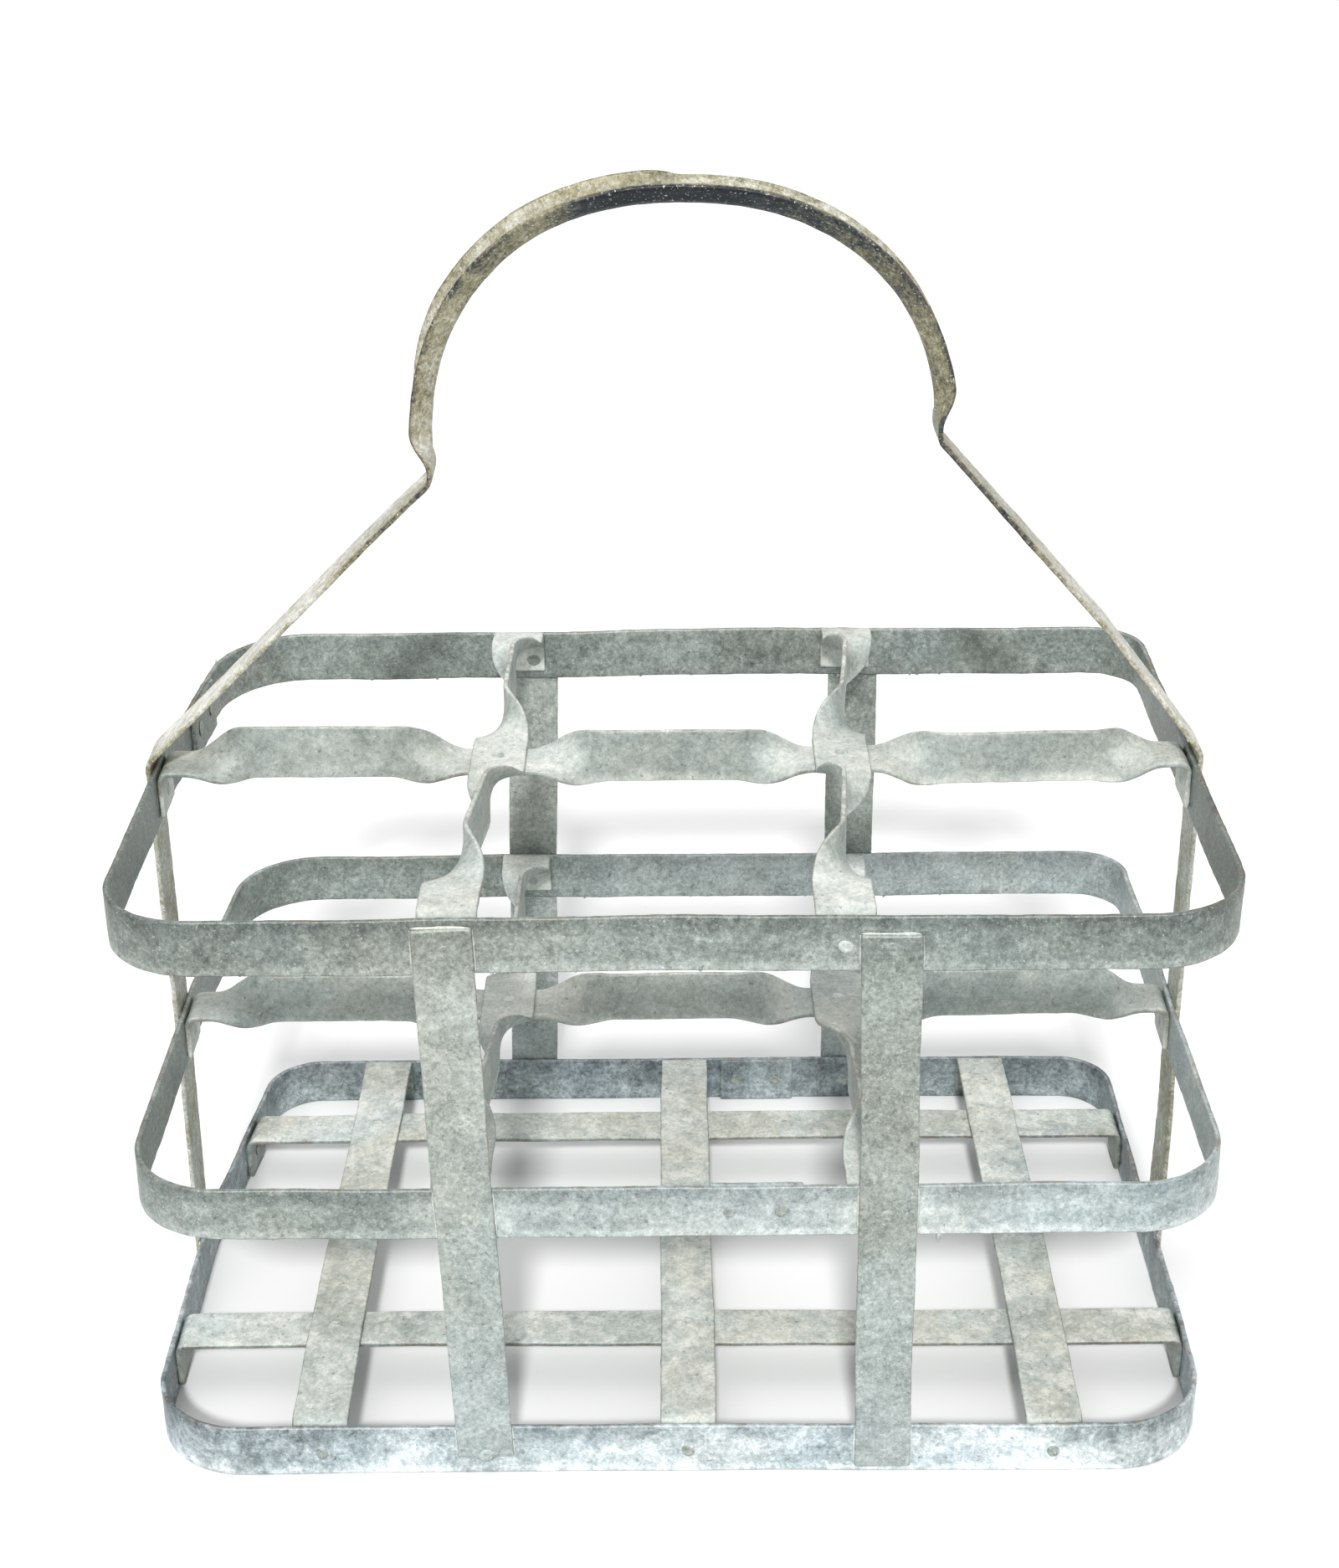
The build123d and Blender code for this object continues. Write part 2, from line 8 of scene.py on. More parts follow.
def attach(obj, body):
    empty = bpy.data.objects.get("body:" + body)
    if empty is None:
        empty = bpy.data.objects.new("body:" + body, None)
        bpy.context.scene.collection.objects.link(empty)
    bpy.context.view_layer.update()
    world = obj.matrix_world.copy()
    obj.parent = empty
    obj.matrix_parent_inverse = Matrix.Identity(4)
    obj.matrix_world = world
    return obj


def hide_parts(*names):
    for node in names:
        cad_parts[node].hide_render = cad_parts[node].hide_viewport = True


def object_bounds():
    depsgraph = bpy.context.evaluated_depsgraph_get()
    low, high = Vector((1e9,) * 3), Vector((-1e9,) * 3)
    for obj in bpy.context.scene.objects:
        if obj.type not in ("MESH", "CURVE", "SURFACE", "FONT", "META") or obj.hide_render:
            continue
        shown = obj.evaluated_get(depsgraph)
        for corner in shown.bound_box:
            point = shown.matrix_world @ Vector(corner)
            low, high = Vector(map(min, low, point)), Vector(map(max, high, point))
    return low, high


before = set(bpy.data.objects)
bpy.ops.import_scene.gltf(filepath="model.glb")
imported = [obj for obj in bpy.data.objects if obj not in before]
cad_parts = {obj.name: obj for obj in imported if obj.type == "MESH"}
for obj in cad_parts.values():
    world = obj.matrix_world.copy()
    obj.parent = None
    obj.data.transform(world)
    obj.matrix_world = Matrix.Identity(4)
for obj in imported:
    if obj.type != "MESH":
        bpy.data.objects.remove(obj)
cad_low, cad_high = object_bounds()

# Sizes in millimetres, as in the CAD source
MM = 0.001
STRIP_WIDTH = 16.2
STRIP_THICKNESS = 1.5
HALF_STRIP = STRIP_WIDTH / 2
HALF_THICKNESS = STRIP_THICKNESS / 2
BEND_RADIUS = 2.75
HALF_WIDTH = 153.5
HALF_DEPTH = 101.0
FRONT_CORNER_RADIUS, BACK_RIGHT_CORNER_RADIUS = 27.0, 17.0
BACK_LEFT_CORNER_RADII = {"top": 30.0, "middle": 26.0, "bottom": 18.0}
# The hoops' left sides lean inwards towards the back
LEFT_LEANS = {"top": 7.0, "middle": 7.0, "bottom": 10.0}
LEAN_START, LEAN_RADIUS = 10.0, 60.0
HOOPS = {"top": 165.3, "middle": 82.4, "bottom": 0.0}
LAP_LENGTH = 26.0
MIDDLE_LAP_X, BOTTOM_LAP_X = 21.5, 28.5
# Each strap: side, then (x, z) of its lower and upper end
STRAPS = {
    "front_left": (-1, (-56.0, 6.5), (-61.0, 179.0)),
    "front_right": (-1, (58.8, 2.5), (56.5, 176.5)),
    "back_left": (1, (-52.0, 4.0), (-46.5, 178.5)),
    "back_right": (1, (60.0, 4.0), (60.0, 178.5)),
}
# Where each cross divider is at the front, at its crossing and at the back
DIVIDERS_X = {
    "top": {"left": (-59.5, -51.5, -51.0), "right": (44.5, 50.0, 57.0)},
    "middle": {"left": (-59.5, -51.5, -51.0), "right": (54.0, 50.0, 57.0)},
}
# How far a long divider's stretches on edge spring up, from left to right
LONG_LIFTS = {"top": (3.5, 1.5, 0.0), "middle": (2.5, 2.5, 3.0)}
TAB_LENGTH = 14.5
LONG_END_FLAT, LONG_END_TWIST = 8.0, 21.0
LONG_CROSSING_FLAT, LONG_CROSSING_TWIST = 9.0, 24.0
# End flat, end twist and crossing twist of the cross dividers' halves
FRONT_TWISTS, MIDDLE_RIGHT_FRONT_TWISTS = (15.0, 26.0, 18.0), (4.5, 30.0, 32.0)
BACK_TWISTS = (10.5, 21.0, 26.0)
CROSS_CROSSING_FLAT = 10.0
BASE_CROSSES_X = {"left": -103.5, "centre": 2.5, "right": 108.5}
BASE_LONGS_Y = {"front": -54.0, "back": 57.5}
HANDLE_BOTTOM_Z, SHOULDER_Z, SHOULDER_RADIUS = 4.0, 184.0, 4.0
RIGHT_LEG_BOW, LEG_BOW_RADIUS = (124.5, 223.5), 90.0
NECK_RADIUS, NECK_RUN = 5.0, 3.5
ARCH_CENTRE = np.array((3.5, 275.0))
ARCH_HALF_WIDTH, ARCH_HEIGHT, ARCH_SQUARENESS = 70.5, 70.75, 2.3
LEFT_NECK_ANGLE, RIGHT_NECK_ANGLE = 182.0, 7.0
# How flat the grip's two flanges lie at angles along the arch: 90 is flat, 0 folded right in
LEAN_ANGLES = (7.0, 15.5, 90.0, 98.0, 140.0, 173.5, 182.0)
FRONT_LEANS = (89.0, 46.0, 46.0, 46.0, 46.0, 46.0, 89.0)
BACK_LEANS = (89.0, 46.0, 46.0, 14.0, 14.0, 46.0, 89.0)
FOLD_ZONE = 2.6
NUGGET_DIAMETER, NUGGET_STAND, NUGGET_REACH = 4.4, 0.25, 9.0

# How finely the strips are meshed, and how round their edges are
STEP = 1.3
COLUMNS = 11
FOLD_STEPS = 163
ARCH_STEPS = 176
EDGE_ROUND = 0.5
# A strip's rounded end: (distance from the end, how far the sides draw in, share of the thickness)
END_INSETS = ((0.0, 0.45, 0.4), (0.12, 0.22, 0.75), (0.35, 0.06, 0.95), (0.7, 0.0, 1.0))

UP = np.array((0.0, 0.0, 1.0))
random = np.random.default_rng(20)


def unit(vector):
    return vector / np.linalg.norm(vector)


def eased(fraction):
    """Smooth start and end between 0 and 1."""
    return (1 - np.cos(np.pi * np.clip(fraction, 0, 1))) / 2


def ramped(values, start, end):
    """0 before start, 1 beyond end, straight between them; start may be the larger."""
    return np.clip((values - start) / (end - start), 0, 1)


def waves(wavelength, amplitude, count=10):
    """A smooth random function of place, with bumps about half a wavelength apart."""
    directions = random.normal(size=(count, 3))
    directions /= np.linalg.norm(directions, axis=1, keepdims=True)
    lengths = wavelength * random.uniform(0.7, 1.5, count)
    phases = random.uniform(0, 2 * np.pi, count)
    share = amplitude * math.sqrt(2 / count)

    def at(points):
        turns = points @ (directions / lengths[:, None]).T * 2 * np.pi + phases
        return share * np.sin(turns).sum(axis=1)

    return at


# Dents and bows of the whole crate: strips that touch move together
SWAY = [waves(150, 0.24) for axis in "xyz"]
RIPPLE = [waves(38, 0.1) for axis in "xyz"]
GRAIN = waves(5.5, 0.035, 24)
# The front of the top hoop bows up in its middle
FRONT_BOW, FRONT_BOW_HALF_LENGTH, FRONT_BOW_DEPTH = 1.1, 75, 22
# Room left inside the CAD box
DRAW_IN, BOX_GAP = 0.55, 0.02
BOX_LOW, BOX_HIGH = np.array(cad_low) / MM, np.array(cad_high) / MM


def kept_in_box(points):
    return np.clip(points, BOX_LOW + BOX_GAP, BOX_HIGH - BOX_GAP)


def settle(points):
    """Bends points, in millimetres, as a used crate is bent, and keeps them in the CAD box."""
    moved = points.copy()
    for axis in range(3):
        moved[:, axis] += SWAY[axis](points) + RIPPLE[axis](points)
    x, y, z = points.T
    bow = FRONT_BOW * np.exp(
        -((x / FRONT_BOW_HALF_LENGTH) ** 2) - ((y + HALF_DEPTH) / FRONT_BOW_DEPTH) ** 2)
    moved[:, 2] += bow * ramped(z, 140, 165) * ramped(z, 200, 190)
    moved[:, 2] = z + (moved[:, 2] - z) * ramped(z, 0, 30)
    moved -= DRAW_IN * points / BOX_HIGH
    return kept_in_box(moved)


# Routes in a plane
def route(corners, radii, closed=False):
    """Points and headings along straight runs joined by arcs."""
    corners = [np.array(corner, float) for corner in corners]
    count = len(corners)
    bends = {}
    for index, radius in zip(range(count) if closed else range(1, count - 1), radii):
        before = unit(corners[index] - corners[index - 1])
        after = unit(corners[(index + 1) % count] - corners[index])
        turn = math.atan2(before[0] * after[1] - before[1] * after[0], before @ after)
        bends[index] = (before, after, turn, radius, radius * math.tan(abs(turn) / 2))
    points, headings = [], []

    def add_run(start, end):
        pieces = max(1, math.ceil(np.linalg.norm(end - start) / STEP))
        for step in range(pieces):
            points.append(start + (end - start) * step / pieces)
            headings.append(unit(end - start))

    def add_arc(corner, before, after, turn, radius, reach):
        start = corner - before * reach
        centre = start + np.array((-before[1], before[0])) * math.copysign(radius, turn)
        pieces = max(4, math.ceil(radius * abs(turn) / STEP))
        for step in range(pieces):
            angle = turn * step / pieces
            cosine, sine = math.cos(angle), math.sin(angle)
            spin = np.array(((cosine, -sine), (sine, cosine)))
            points.append(centre + spin @ (start - centre))
            headings.append(spin @ before)

    for index in range(count if closed else count - 1):
        following = (index + 1) % count
        if index in bends:
            add_arc(corners[index], *bends[index])
            start = corners[index] + bends[index][1] * bends[index][4]
        else:
            start = corners[index]
        end = corners[following]
        if following in bends:
            end = end - bends[following][0] * bends[following][4]
        add_run(start, end)
    if not closed:
        points.append(corners[-1])
        headings.append(headings[-1])
    return np.array(points), np.array(headings)


# Strips
def strip_outline():
    """Cross-section of a strip: (across, through) round its outside."""
    flat = HALF_STRIP - EDGE_ROUND
    columns = np.linspace(-flat, flat, COLUMNS + 1)
    lift = HALF_THICKNESS - EDGE_ROUND
    edge = [(flat + EDGE_ROUND * math.cos(a), lift + EDGE_ROUND * math.sin(a))
            for a in np.radians((60, 30, 0))]
    edge += [(across, -through) for across, through in reversed(edge)]
    face = [(across, HALF_THICKNESS) for across in columns]
    half = face + edge
    return np.array(half + [(-across, -through) for across, through in half])


OUTLINE = strip_outline()


def folded(leans, across, through):
    """Places of outline points of a strip folded along its middle, sideways and outward."""
    fine = np.linspace(-HALF_STRIP, HALF_STRIP, FOLD_STEPS)
    share = eased(fine / FOLD_ZONE + 0.5)
    front, back = leans
    tilt = np.radians((front - 90) * (1 - share) + (90 - back) * share)
    step = fine[1] - fine[0]
    sideways = np.cumsum(np.cos(tilt)) * step
    outward = np.cumsum(np.sin(tilt)) * step
    middle = len(fine) // 2
    sideways -= sideways[middle]
    outward -= outward[middle]
    turn = np.interp(across, fine, tilt)
    side = np.interp(across, fine, sideways) - np.sin(turn) * through
    out = np.interp(across, fine, outward) + np.cos(turn) * through
    return side, out


def with_ends(centres, widths, normals, leans):
    """Adds sections close to both ends of an open strip, and how far each is drawn in."""
    first = unit(centres[1] - centres[0])
    last = unit(centres[-1] - centres[-2])
    insets = np.array(END_INSETS)
    start = centres[0] + np.outer(insets[:, 0], first)
    stop = centres[-1] - np.outer(insets[::-1, 0], last)
    count = len(insets)

    def padded(rows):
        return np.concatenate(
            [np.repeat(rows[:1], count, 0), rows[1:-1], np.repeat(rows[-1:], count, 0)])

    middle = len(centres) - 2
    draw_in = np.concatenate([insets[:, 1], np.zeros(middle), insets[::-1, 1]])
    thin = np.concatenate([insets[:, 2], np.ones(middle), insets[::-1, 2]])
    centres = np.concatenate([start, centres[1:-1], stop])
    return centres, padded(widths), padded(normals), padded(leans), draw_in, thin


def strip_shell(centres, widths, normals, leans=None, closed=False):
    """One strip swept along its sections: points, faces, and where each point is on the strip."""
    if leans is None:
        leans = np.full((len(centres), 2), 90.0)
    if closed:
        draw_in, thin = np.zeros(len(centres)), np.ones(len(centres))
    else:
        centres, widths, normals, leans, draw_in, thin = with_ends(centres, widths, normals, leans)
    size = len(OUTLINE)
    points, acrosses, faces_at = [], [], []
    for row in range(len(centres)):
        across = OUTLINE[:, 0] * (1 - draw_in[row] / HALF_STRIP)
        through = OUTLINE[:, 1] * thin[row]
        side, out = folded(leans[row], across, through)
        points.append(centres[row] + np.outer(side, widths[row]) + np.outer(out, normals[row]))
        acrosses.append(across / HALF_STRIP)
        faces_at.append(through / HALF_THICKNESS)
    rows = len(centres)
    faces = []
    for row in range(rows if closed else rows - 1):
        here, there = row * size, (row + 1) % rows * size
        for k in range(size):
            after = (k + 1) % size
            faces.append((here + k, there + k, there + after, here + after))
    if not closed:
        faces.append(tuple(range(size)))
        faces.append(tuple((rows - 1) * size + k for k in reversed(range(size))))
    return np.concatenate(points), faces, np.concatenate(acrosses), np.concatenate(faces_at)


def joined(shells):
    """Several shells as one."""
    points, faces, across, through = [], [], [], []
    start = 0
    for shell in shells:
        points.append(shell[0])
        faces += [tuple(start + k for k in face) for face in shell[1]]
        across.append(shell[2])
        through.append(shell[3])
        start += len(shell[0])
    return np.concatenate(points), faces, np.concatenate(across), np.concatenate(through)


def plain_frames(points, headings, along, out, sideways):
    """Sections of a strip bent in a plane, as (centres, width directions, normals)."""
    centres = np.outer(points[:, 0], along) + np.outer(points[:, 1], out)
    normals = np.outer(-headings[:, 1], along) + np.outer(headings[:, 0], out)
    widths = np.repeat([sideways], len(points), 0).astype(float)
    return centres, widths, normals


def left_lean(level, y):
    """How far a hoop's left side has leaned in at this place."""
    return LEFT_LEANS[level] * np.maximum(y - LEAN_START, 0) / (HALF_DEPTH - LEAN_START)


def hoop_shell(level):
    """A closed band on edge, with its lap inside."""
    half_x, half_y = HALF_WIDTH - HALF_THICKNESS, HALF_DEPTH - HALF_THICKNESS
    corners = [(-half_x, -half_y), (half_x, -half_y), (half_x, half_y),
               (left_lean(level, half_y) - half_x, half_y), (-half_x, LEAN_START)]
    radii = [FRONT_CORNER_RADIUS, FRONT_CORNER_RADIUS, BACK_RIGHT_CORNER_RADIUS,
             BACK_LEFT_CORNER_RADII[level], LEAN_RADIUS]
    radii = [radius - HALF_THICKNESS for radius in radii]
    points, headings = route(corners, radii, closed=True)
    middle = HOOPS[level] + HALF_STRIP
    centres = np.column_stack([points, np.full(len(points), middle)])
    normals = np.column_stack([headings[:, 1], -headings[:, 0], np.zeros(len(points))])
    widths = np.repeat([UP], len(points), 0)
    inner_x, inner_y = half_x - STRIP_THICKNESS, half_y - STRIP_THICKNESS
    top_y = HALF_DEPTH / 2
    top_place = (left_lean("top", top_y) - inner_x, top_y)
    top_along = -unit(np.array((LEFT_LEANS["top"], HALF_DEPTH - LEAN_START)))
    laps = {
        "top": (top_place, top_along, (top_along[1], -top_along[0])),
        "middle": ((MIDDLE_LAP_X, -inner_y), (1, 0), (0, -1)),
        "bottom": ((BOTTOM_LAP_X, inner_y), (-1, 0), (0, 1)),
    }
    place, along, out = (np.array(v, float) for v in laps[level])
    steps = np.linspace(-LAP_LENGTH / 2, LAP_LENGTH / 2, 22)
    lap_points = place + np.outer(steps, along) + out * 0.05
    lap_centres = np.column_stack([lap_points, np.full(len(steps), middle)])
    lap_normals = np.repeat([(*out, 0.0)], len(steps), 0)
    lap = strip_shell(lap_centres, np.repeat([UP], len(steps), 0), lap_normals)
    return joined([strip_shell(centres, widths, normals, closed=True), lap])


def strap_x(name, z):
    _, (bottom_x, bottom_z), (top_x, top_z) = STRAPS[name]
    return bottom_x + (top_x - bottom_x) * (z - bottom_z) / (top_z - bottom_z)


def strap_shell(name):
    sign, bottom, top = STRAPS[name]
    start = np.array((bottom[0], sign * (HALF_DEPTH + HALF_THICKNESS), bottom[1]))
    end = np.array((top[0], start[1], top[1]))
    pieces = math.ceil(np.linalg.norm(end - start) / STEP)
    centres = start + np.outer(np.arange(pieces + 1) / pieces, end - start)
    out = np.array((0.0, sign, 0.0))
    width = np.cross(out, unit(end - start))
    widths, normals = (np.repeat([vector], len(centres), 0) for vector in (width, out))
    return strip_shell(centres, widths, normals)


def grid_shell(along, sideways, half_length, height, shifts, spans=(), quarter_turn=0.0):
    """A grid strip with a tab at each end, twisted on edge in its spans.

    A span is (start, end, first twist length, last twist length, lift).
    """
    middle = half_length - HALF_THICKNESS
    tab_z = height + HALF_THICKNESS - TAB_LENGTH
    corners = [(-middle, tab_z), (-middle, height), (middle, height), (middle, tab_z)]
    points, headings = route(corners, [BEND_RADIUS, BEND_RADIUS])
    centres, widths, normals = plain_frames(points, headings, along, UP, sideways)
    place = points[:, 0]
    turned, lift = np.zeros(len(place)), np.zeros(len(place))
    knots, values = [-middle], [shifts[0]]
    for number, (start, end, first, last, rise) in enumerate(spans):
        inside = (place > start) & (place < end)
        share = np.minimum(eased((place - start) / first), eased((end - place) / last))
        turned[inside] = share[inside]
        lift[inside] = rise * share[inside]
        knots += [start, end]
        values += [shifts[number], shifts[number + 1]]
    shift = np.interp(place, knots + [middle], values + [shifts[-1]])
    angle = np.radians(quarter_turn) * turned[:, None]
    centres = centres + np.outer(shift, sideways) + np.outer(lift, UP)
    turned_widths = widths * np.cos(angle) + normals * np.sin(angle)
    turned_normals = normals * np.cos(angle) - widths * np.sin(angle)
    return strip_shell(centres, turned_widths, turned_normals)


ALONG_X, ALONG_Y = np.array((1.0, 0.0, 0.0)), np.array((0.0, 1.0, 0.0))
INNER_HALF_WIDTH = HALF_WIDTH - STRIP_THICKNESS
INNER_HALF_DEPTH = HALF_DEPTH - STRIP_THICKNESS


def layer_height(level, layer):
    """Mid-height of a lower (0) or upper (1) grid strip."""
    return HOOPS[level] + STRIP_WIDTH + STRIP_THICKNESS * (layer - 0.5)


def long_divider_shell(level):
    left, right = (DIVIDERS_X[level][side][1] for side in ("left", "right"))
    flat_end = INNER_HALF_WIDTH - LONG_END_FLAT
    edges = [-flat_end, left - LONG_CROSSING_FLAT, left + LONG_CROSSING_FLAT,
             right - LONG_CROSSING_FLAT, right + LONG_CROSSING_FLAT, flat_end]
    twists = [(LONG_END_TWIST, LONG_CROSSING_TWIST), (LONG_CROSSING_TWIST, LONG_CROSSING_TWIST),
              (LONG_CROSSING_TWIST, LONG_END_TWIST)]
    spans = [(edges[2 * k], edges[2 * k + 1], *twists[k], LONG_LIFTS[level][k]) for k in range(3)]
    return grid_shell(ALONG_X, ALONG_Y, INNER_HALF_WIDTH, layer_height(level, 0),
                      (0, 0, 0, 0), spans, 90.0)


def cross_divider_shell(level, side):
    own_twists = (level, side) == ("middle", "right")
    front_twists = MIDDLE_RIGHT_FRONT_TWISTS if own_twists else FRONT_TWISTS
    front_flat, front_end, front_crossing = front_twists
    back_flat, back_end, back_crossing = BACK_TWISTS
    spans = [
        (front_flat - INNER_HALF_DEPTH, -CROSS_CROSSING_FLAT, front_end, front_crossing, 0.0),
        (CROSS_CROSSING_FLAT, INNER_HALF_DEPTH - back_flat, back_crossing, back_end, 0.0),
    ]
    shifts = [-x for x in DIVIDERS_X[level][side]]
    return grid_shell(ALONG_Y, -ALONG_X, INNER_HALF_DEPTH, layer_height(level, 1), shifts, spans,
                      -90.0 if side == "left" else 90.0)


def base_long_shell(side):
    points, *rest = grid_shell(ALONG_X, ALONG_Y, INNER_HALF_WIDTH, layer_height("bottom", 0),
                               (BASE_LONGS_Y[side],) * 2)
    x, y, _ = points.T
    points[:, 0] += left_lean("bottom", y) * ramped(x, -120, -145)
    return points, *rest


def base_cross_shell(side):
    return grid_shell(ALONG_Y, -ALONG_X, INNER_HALF_DEPTH, layer_height("bottom", 1),
                      (-BASE_CROSSES_X[side],) * 2)


def arch_curve(degrees):
    """Point on the arch's slightly squared-off outline."""
    turn = math.radians(degrees)
    direction = np.array((math.cos(turn), math.sin(turn)))
    share = abs(direction[0] / ARCH_HALF_WIDTH) ** ARCH_SQUARENESS
    share += abs(direction[1] / ARCH_HEIGHT) ** ARCH_SQUARENESS
    return ARCH_CENTRE + direction * share ** (-1 / ARCH_SQUARENESS)


def arch_heading(degrees):
    return unit(arch_curve(degrees - 0.5) - arch_curve(degrees + 0.5))


def eased_between(angle, knots, values):
    """Value at an angle, easing from knot to knot."""
    number = int(np.clip(np.searchsorted(knots, angle) - 1, 0, len(knots) - 2))
    share = eased((angle - knots[number]) / (knots[number + 1] - knots[number]))
    return values[number] + (values[number + 1] - values[number]) * share


def leg_route(sign, bends, neck_angle):
    """Route of one end of the handle, from its foot to the arch."""
    x = sign * (HALF_WIDTH + HALF_THICKNESS)
    end = arch_curve(neck_angle)
    neck = end + arch_heading(neck_angle) * NECK_RUN * sign
    corners = [(x, HANDLE_BOTTOM_Z), (x, SHOULDER_Z), *[corner for corner, _ in bends], neck, end]
    radii = [SHOULDER_RADIUS, *[radius for _, radius in bends], NECK_RADIUS]
    return route(corners, radii)


def handle_shell():
    left, left_headings = leg_route(-1, [], LEFT_NECK_ANGLE)
    right, right_headings = leg_route(1, [(RIGHT_LEG_BOW, LEG_BOW_RADIUS)], RIGHT_NECK_ANGLE)
    angles = np.linspace(LEFT_NECK_ANGLE, RIGHT_NECK_ANGLE, ARCH_STEPS)[1:-1]
    arch = np.array([arch_curve(angle) for angle in angles])
    arch_headings = np.array([arch_heading(angle) for angle in angles])
    points = np.concatenate([left, arch, right[::-1]])
    headings = np.concatenate([left_headings, arch_headings, -right_headings[::-1]])
    front = [eased_between(angle, LEAN_ANGLES, FRONT_LEANS) for angle in angles]
    back = [eased_between(angle, LEAN_ANGLES, BACK_LEANS) for angle in angles]
    leans = np.full((len(points), 2), 90.0)
    leans[len(left):len(left) + len(arch)] = np.column_stack([front, back])
    leans[len(left) - 1] = leans[len(left) + len(arch)] = 89.0
    centres, widths, normals = plain_frames(points, headings, ALONG_X, UP, ALONG_Y)
    return strip_shell(centres, widths, normals, leans)


# Zinc details
BEAD_STAND, BEAD_INSET, BEAD_SIDES = 0.1, 0.3, 8
STRAP_BEAD, HANDLE_BEAD, STRAP_END_BEAD = 0.42, 0.45, 0.5
DROP_SIDES, SPOT_SIDES = 10, 20


def ringed(rings):
    """Closed shell through rings of points, each ring turning left as seen from beyond the last."""
    count, sides = len(rings), len(rings[0])
    faces = []
    for ring in range(count - 1):
        here, there = ring * sides, (ring + 1) * sides
        for side in range(sides):
            after = (side + 1) % sides
            faces.append((here + side, here + after, there + after, there + side))
    faces.append(tuple(reversed(range(sides))))
    faces.append(tuple((count - 1) * sides + side for side in range(sides)))
    points = np.concatenate(rings)
    return points, faces, np.zeros(len(points)), np.ones(len(points))


def circle(centre, aside, above, sides):
    """Points round centre, given the two half-axes."""
    angles = 2 * np.pi * np.arange(sides) / sides
    return centre + np.outer(np.cos(angles), aside) + np.outer(np.sin(angles), above)


def bead_shell(start, end, radius):
    """A thin uneven run of zinc from one point to another."""
    start, end = np.array(start, float), np.array(end, float)
    length = np.linalg.norm(end - start)
    heading = (end - start) / length
    aside = unit(np.cross(heading, UP if abs(heading[2]) < 0.9 else ALONG_Y))
    above = np.cross(heading, aside)
    steps = np.linspace(0, 1, max(5, math.ceil(length / 0.9)) + 1)
    centres = start + np.outer(steps, end - start)
    taper = np.minimum(1, 0.15 + 6 * np.minimum(steps, 1 - steps))
    sizes = radius * (1 + waves(9, 0.16, 6)(centres)) * taper
    return ringed([circle(centre, aside * size, above * size, BEAD_SIDES)
                   for centre, size in zip(centres, sizes)])


def drop_shell(place, size):
    """A hanging drop of zinc, its size across, through and down."""
    rings = []
    for polar in np.radians(np.linspace(172, 8, 8)):
        ring = math.sin(polar) * (1 + 0.25 * math.cos(polar))
        centre = np.array(place) + UP * size[2] * math.cos(polar)
        rings.append(circle(centre, ALONG_X * size[0] * ring, ALONG_Y * size[1] * ring, DROP_SIDES))
    return ringed(rings)


# A weld mark's (radius, height) from its rim to its middle
SPOT_PROFILE = ((2.2, -0.12), (1.95, 0.03), (1.6, 0.12), (1.35, 0.21), (1.1, 0.2), (0.85, 0.1),
                (0.55, 0.03), (0.1, 0.02))


def spot_shell(place, axis):
    """The mark of a spot weld: a shallow pit in a raised ring, facing along axis."""
    axis = np.array(axis, float)
    aside = np.cross(axis, UP if abs(axis[2]) < 0.9 else ALONG_X)
    above = np.cross(axis, aside)
    wobble = waves(4, 0.1, 6)
    scale = random.uniform(0.85, 1.1)
    rings = []
    for radius, height in SPOT_PROFILE:
        ring = circle(np.zeros(3), aside * radius * scale, above * radius * scale, SPOT_SIDES)
        stretch = 1 + wobble(ring + place)
        rings.append(place + ring * stretch[:, None] + axis * height)
    return ringed(rings)


def nugget_ends(node):
    """Both end faces of every weld nugget of a CAD node, as (place, axis)."""
    corners = np.array([vertex.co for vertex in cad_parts[node].data.vertices]) / MM
    clusters = []
    for corner in corners:
        for cluster in clusters:
            if np.linalg.norm(corner - cluster[0]) < NUGGET_REACH:
                cluster.append(corner)
                break
        else:
            clusters.append([corner])
    ends = []
    for cluster in clusters:
        low, high = np.min(cluster, axis=0), np.max(cluster, axis=0)
        size = high - low
        axis = int(np.argmax(np.abs(size - NUGGET_DIAMETER)))
        for sign, face in ((-1, low), (1, high)):
            place = (low + high) / 2
            place[axis] = face[axis] - sign * NUGGET_STAND
            direction = np.zeros(3)
            direction[axis] = sign
            ends.append((place, direction))
    return ends


# Making objects
def attribute(mesh, name, values):
    made = mesh.attributes.new(name, "FLOAT", "POINT")
    made.data.foreach_set("value", values.astype(np.float32))


def make_object(name, shell, slot, nodes=()):
    """A mesh object from a shell in millimetres, with what its material reads."""
    points, faces, across, through = shell
    moved = settle(points)
    mesh = bpy.data.meshes.new(name)
    mesh.from_pydata((moved * MM).tolist(), [], faces)
    mesh.validate()
    mesh.shade_smooth()
    normals = np.zeros(len(mesh.vertices) * 3, np.float32)
    mesh.vertex_normals.foreach_get("vector", normals)
    normals = normals.reshape(-1, 3)
    moved = kept_in_box(moved + GRAIN(points)[:, None] * normals)
    mesh.vertices.foreach_set("co", (moved * MM).astype(np.float32).ravel())
    mesh.update()
    attribute(mesh, "across", across)
    attribute(mesh, "through", through)
    # pale holds painted highlights and painted shade as well as the zinc's own tone
    attribute(mesh, "pale", paleness_with_painted_light(name, points, normals, across, through))
    attribute(mesh, "cool", coolness(name, points))
    mesh.materials.append(MATERIALS[slot])
    made = bpy.data.objects.new(name, mesh)
    bpy.context.scene.collection.objects.link(made)
    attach(made, "root")
    if nodes:
        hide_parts(*nodes)


